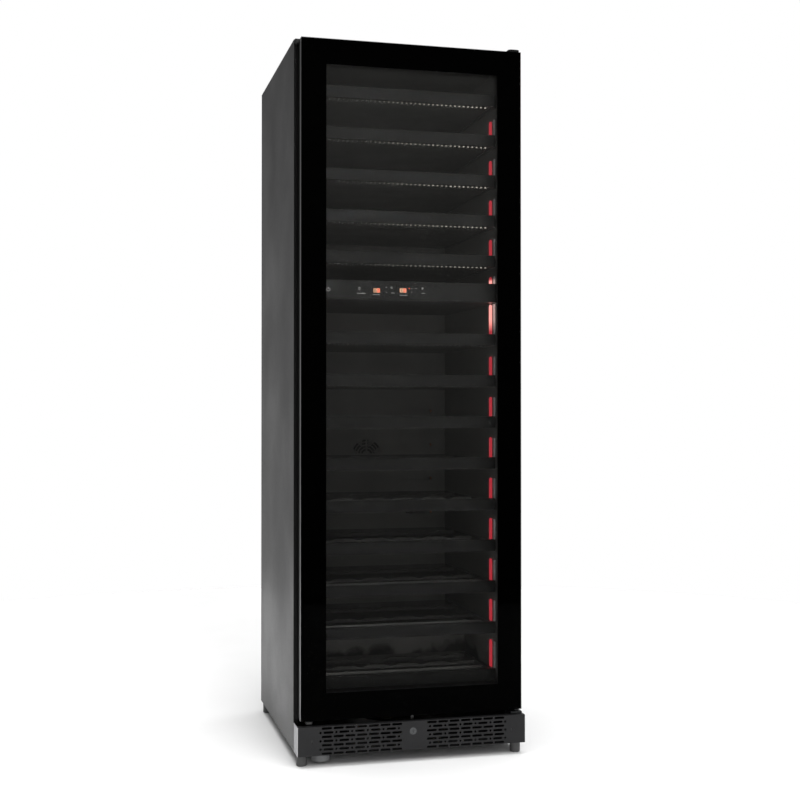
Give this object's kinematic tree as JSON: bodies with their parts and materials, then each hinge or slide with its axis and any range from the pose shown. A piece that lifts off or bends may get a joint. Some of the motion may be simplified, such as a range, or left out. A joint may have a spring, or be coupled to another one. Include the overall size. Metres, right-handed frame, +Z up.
{
  "type": "wine cooler",
  "caption": "Tall two-zone wine cooler with a black-bordered glass door, sliding bottle shelves, lit side walls, a control strip and a slotted plinth on screw feet.",
  "frame": {"origin": "on the floor, under the middle of the outer box", "axes": "+Z up, -Y out of the door's glass front, +X to the hinge side"},
  "size_m": [0.595, 0.68, 1.8295],
  "materials": {
    "cabinet_steel": "satin",
    "rear_steel": "satin",
    "chassis_steel": "satin",
    "spacer_plastic": "matte",
    "insulation": "matte",
    "liner_plastic": "satin",
    "breaker_steel": "satin",
    "divider_board": "satin",
    "control_gloss": "gloss",
    "lens_red": "gloss",
    "runner_steel": "satin",
    "duct_plastic": "satin",
    "evaporator_aluminium": "satin",
    "fan_plastic": "satin",
    "compressor_paint": "satin",
    "condenser_steel": "satin",
    "copper": "satin",
    "tray_plastic": "matte",
    "cup_plastic": "matte",
    "box_plastic": "matte",
    "kick_steel": "satin",
    "screw_steel": "satin",
    "lock_metal": "satin",
    "bolt_steel": "satin",
    "hinge_steel": "satin",
    "cover_plastic": "satin",
    "foot_plastic": "satin",
    "roller_nylon": "satin",
    "frame_plastic": "satin",
    "outer_glass": "polished",
    "inner_glass": "polished",
    "spacer_bar": "matte",
    "gasket_rubber": "matte",
    "trim_aluminium": "satin",
    "shelf_steel": "satin"
  },
  "bodies": {
    "cabinet": {"side_panel_left": "cabinet_steel", "side_panel_right": "cabinet_steel", "top_panel": "cabinet_steel", "rear_panel": "rear_steel", "machine_cover": "rear_steel", "base_chassis": "chassis_steel", "wall_spacers": "spacer_plastic", "insulation_foam": "insulation", "inner_liner": "liner_plastic", "front_frame": "breaker_steel", "zone_divider": "divider_board", "control_fascia": "control_gloss", "led_lenses": "lens_red", "fixed_runners": "runner_steel", "upper_duct_cover": "duct_plastic", "lower_duct_cover": "duct_plastic", "evaporators": "evaporator_aluminium", "compressor": "compressor_paint", "condenser": "condenser_steel", "condenser_fan_shroud": "fan_plastic", "refrigerant_pipes": "copper", "drip_tray": "tray_plastic", "drain_cup": "cup_plastic", "electronics_box": "box_plastic", "kick_plate": "kick_steel", "kick_plate_screws": "screw_steel", "hinge_brackets": "hinge_steel", "hinge_cover": "cover_plastic"},
    "door": {"door_frame": "frame_plastic", "outer_glass": "outer_glass", "inner_glass": "inner_glass", "glass_spacer": "spacer_bar", "door_gasket": "gasket_rubber", "door_edge_trim": "trim_aluminium", "lock_catch": "hinge_steel", "roller_bracket": "hinge_steel"},
    "roller": {"door_roller": "roller_nylon"},
    "lock": {"lock_cylinder": "lock_metal"},
    "bolt": {"lock_bolt": "bolt_steel"},
    "upper_fan": {"upper_fan_rotor": "fan_plastic"},
    "lower_fan": {"lower_fan_rotor": "fan_plastic"},
    "condenser_fan": {"condenser_fan_rotor": "fan_plastic"},
    "front_left_foot": {"foot_front_left": "foot_plastic"},
    "front_right_foot": {"foot_front_right": "foot_plastic"},
    "rear_left_foot": {"foot_rear_left": "foot_plastic"},
    "rear_right_foot": {"foot_rear_right": "foot_plastic"},
    "shelf_01_body": {"shelf_01": "shelf_steel"},
    "shelf_02_body": {"shelf_02": "shelf_steel"},
    "shelf_03_body": {"shelf_03": "shelf_steel"},
    "shelf_04_body": {"shelf_04": "shelf_steel"},
    "shelf_05_body": {"shelf_05": "shelf_steel"},
    "shelf_06_body": {"shelf_06": "shelf_steel"},
    "shelf_07_body": {"shelf_07": "shelf_steel"},
    "shelf_08_body": {"shelf_08": "shelf_steel"},
    "shelf_09_body": {"shelf_09": "shelf_steel"},
    "shelf_10_body": {"shelf_10": "shelf_steel"},
    "shelf_11_body": {"shelf_11": "shelf_steel"},
    "shelf_12_body": {"shelf_12": "shelf_steel"},
    "shelf_13_body": {"shelf_13": "shelf_steel"},
    "shelf_14_body": {"shelf_14": "shelf_steel"}
  },
  "joints": [
    {"name": "door_hinge", "type": "hinge", "parent": "cabinet", "child": "door", "pos_m": [0.282, -0.312, 0.116], "axis": [0, 0, 1], "range_deg": [0, 120]},
    {"name": "door_roller_spin", "type": "hinge", "parent": "door", "child": "roller", "pos_m": [-0.264, -0.312, 0.1061], "axis": [1, 0, 0], "continuous": true},
    {"name": "lock_turn", "type": "hinge", "parent": "cabinet", "child": "lock", "pos_m": [-0.0015, -0.34, 0.077], "axis": [0, 1, 0], "range_deg": [0, 90]},
    {"name": "bolt_slide", "type": "slide", "parent": "cabinet", "child": "bolt", "axis": [0, 0, 1], "range_m": [0, 0.009]},
    {"name": "upper_fan_spin", "type": "hinge", "parent": "cabinet", "child": "upper_fan", "pos_m": [0, 0.223, 1.6], "axis": [0, 1, 0], "continuous": true},
    {"name": "lower_fan_spin", "type": "hinge", "parent": "cabinet", "child": "lower_fan", "pos_m": [0, 0.223, 0.76], "axis": [0, 1, 0], "continuous": true},
    {"name": "condenser_fan_spin", "type": "hinge", "parent": "cabinet", "child": "condenser_fan", "pos_m": [-0.15, 0.18, 0.145], "axis": [0, 1, 0], "continuous": true},
    {"name": "front_left_foot_screw", "type": "slide", "parent": "cabinet", "child": "front_left_foot", "axis": [0, 0, -1], "range_m": [0, 0.015]},
    {"name": "front_right_foot_screw", "type": "slide", "parent": "cabinet", "child": "front_right_foot", "axis": [0, 0, -1], "range_m": [0, 0.015]},
    {"name": "rear_left_foot_screw", "type": "slide", "parent": "cabinet", "child": "rear_left_foot", "axis": [0, 0, -1], "range_m": [0, 0.015]},
    {"name": "rear_right_foot_screw", "type": "slide", "parent": "cabinet", "child": "rear_right_foot", "axis": [0, 0, -1], "range_m": [0, 0.015]},
    {"name": "shelf_01_slide", "type": "slide", "parent": "cabinet", "child": "shelf_01_body", "axis": [0, -1, 0], "range_m": [0, 0.25]},
    {"name": "shelf_02_slide", "type": "slide", "parent": "cabinet", "child": "shelf_02_body", "axis": [0, -1, 0], "range_m": [0, 0.25]},
    {"name": "shelf_03_slide", "type": "slide", "parent": "cabinet", "child": "shelf_03_body", "axis": [0, -1, 0], "range_m": [0, 0.25]},
    {"name": "shelf_04_slide", "type": "slide", "parent": "cabinet", "child": "shelf_04_body", "axis": [0, -1, 0], "range_m": [0, 0.25]},
    {"name": "shelf_05_slide", "type": "slide", "parent": "cabinet", "child": "shelf_05_body", "axis": [0, -1, 0], "range_m": [0, 0.25]},
    {"name": "shelf_06_slide", "type": "slide", "parent": "cabinet", "child": "shelf_06_body", "axis": [0, -1, 0], "range_m": [0, 0.25]},
    {"name": "shelf_07_slide", "type": "slide", "parent": "cabinet", "child": "shelf_07_body", "axis": [0, -1, 0], "range_m": [0, 0.25]},
    {"name": "shelf_08_slide", "type": "slide", "parent": "cabinet", "child": "shelf_08_body", "axis": [0, -1, 0], "range_m": [0, 0.25]},
    {"name": "shelf_09_slide", "type": "slide", "parent": "cabinet", "child": "shelf_09_body", "axis": [0, -1, 0], "range_m": [0, 0.25]},
    {"name": "shelf_10_slide", "type": "slide", "parent": "cabinet", "child": "shelf_10_body", "axis": [0, -1, 0], "range_m": [0, 0.25]},
    {"name": "shelf_11_slide", "type": "slide", "parent": "cabinet", "child": "shelf_11_body", "axis": [0, -1, 0], "range_m": [0, 0.25]},
    {"name": "shelf_12_slide", "type": "slide", "parent": "cabinet", "child": "shelf_12_body", "axis": [0, -1, 0], "range_m": [0, 0.25]},
    {"name": "shelf_13_slide", "type": "slide", "parent": "cabinet", "child": "shelf_13_body", "axis": [0, -1, 0], "range_m": [0, 0.25]},
    {"name": "shelf_14_slide", "type": "slide", "parent": "cabinet", "child": "shelf_14_body", "axis": [0, -1, 0], "range_m": [0, 0.25]}
  ],
  "couplings": [
    {"joint": "bolt_slide", "follows": "lock_turn", "m_per_rad": 0.0057},
    {"joint": "shelf_01_slide", "follows": "door_hinge", "m_per_rad": 0.062},
    {"joint": "shelf_02_slide", "follows": "door_hinge", "m_per_rad": 0.062},
    {"joint": "shelf_03_slide", "follows": "door_hinge", "m_per_rad": 0.062},
    {"joint": "shelf_04_slide", "follows": "door_hinge", "m_per_rad": 0.062},
    {"joint": "shelf_05_slide", "follows": "door_hinge", "m_per_rad": 0.062},
    {"joint": "shelf_06_slide", "follows": "door_hinge", "m_per_rad": 0.062},
    {"joint": "shelf_07_slide", "follows": "door_hinge", "m_per_rad": 0.062},
    {"joint": "shelf_08_slide", "follows": "door_hinge", "m_per_rad": 0.062},
    {"joint": "shelf_09_slide", "follows": "door_hinge", "m_per_rad": 0.062},
    {"joint": "shelf_10_slide", "follows": "door_hinge", "m_per_rad": 0.062},
    {"joint": "shelf_11_slide", "follows": "door_hinge", "m_per_rad": 0.062},
    {"joint": "shelf_12_slide", "follows": "door_hinge", "m_per_rad": 0.062},
    {"joint": "shelf_13_slide", "follows": "door_hinge", "m_per_rad": 0.062},
    {"joint": "shelf_14_slide", "follows": "door_hinge", "m_per_rad": 0.062}
  ]
}
